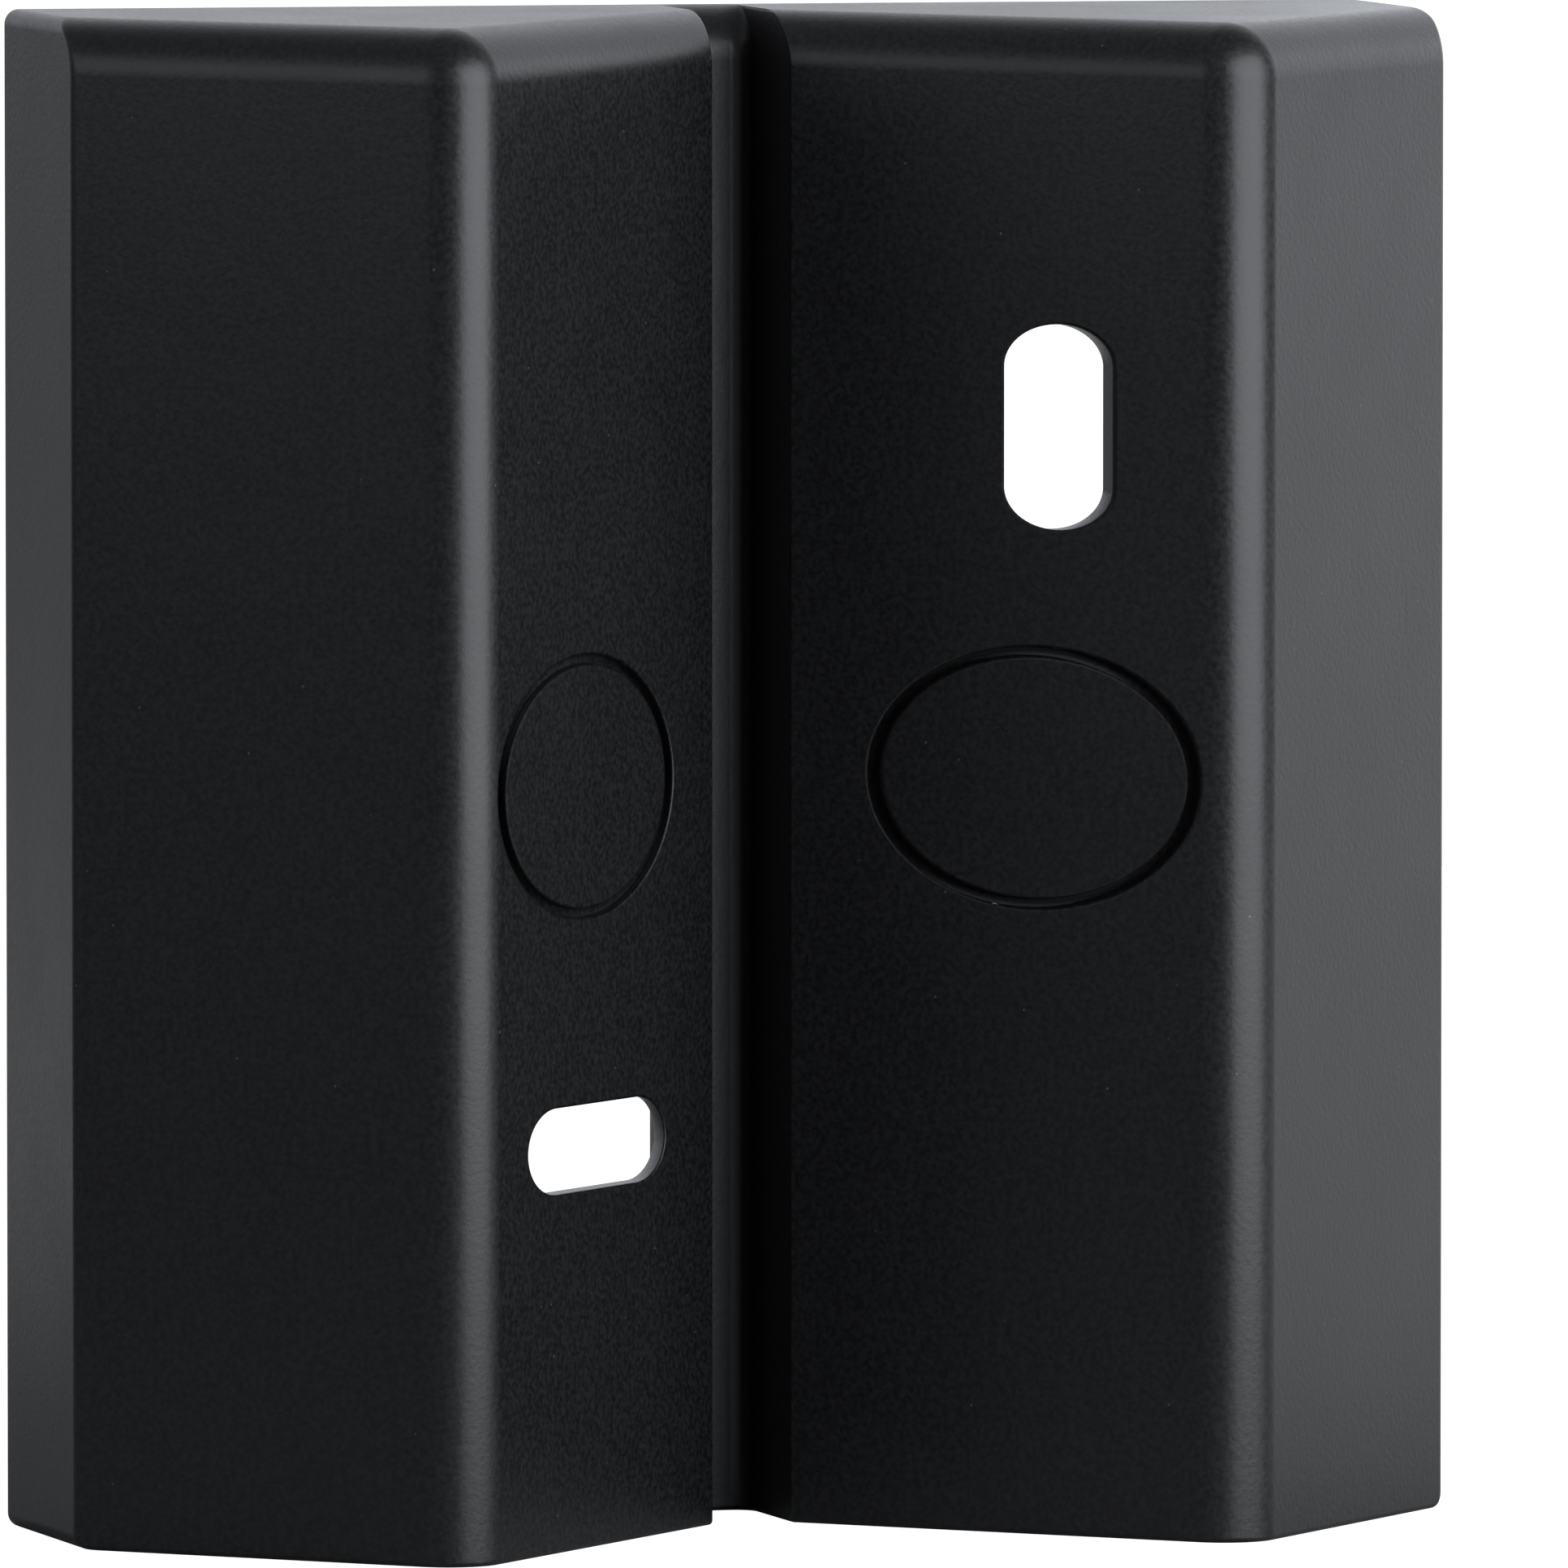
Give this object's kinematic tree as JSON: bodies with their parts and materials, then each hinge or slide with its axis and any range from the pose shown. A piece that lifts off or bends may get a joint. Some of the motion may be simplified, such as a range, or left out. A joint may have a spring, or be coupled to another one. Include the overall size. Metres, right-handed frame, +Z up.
{
  "type": "detector corner bracket",
  "caption": "Hollow moulded bracket that carries a detector on a building corner, with a notched back, a relief channel, screw slots and scored cable knock-outs.",
  "frame": {"origin": "centre of the detector rim plane, level with the flat underside", "axes": "+X across the bracket, +Y out of the rim towards the detector, away from the building corner, +Z up"},
  "size_m": [0.088, 0.0328, 0.093],
  "materials": {
    "moulded_asa": "fine spark-eroded grain, matte"
  },
  "bodies": {
    "root": {"bracket_shell": "moulded_asa", "knockout_blank_left": "moulded_asa", "knockout_blank_right": "moulded_asa"}
  },
  "joints": []
}
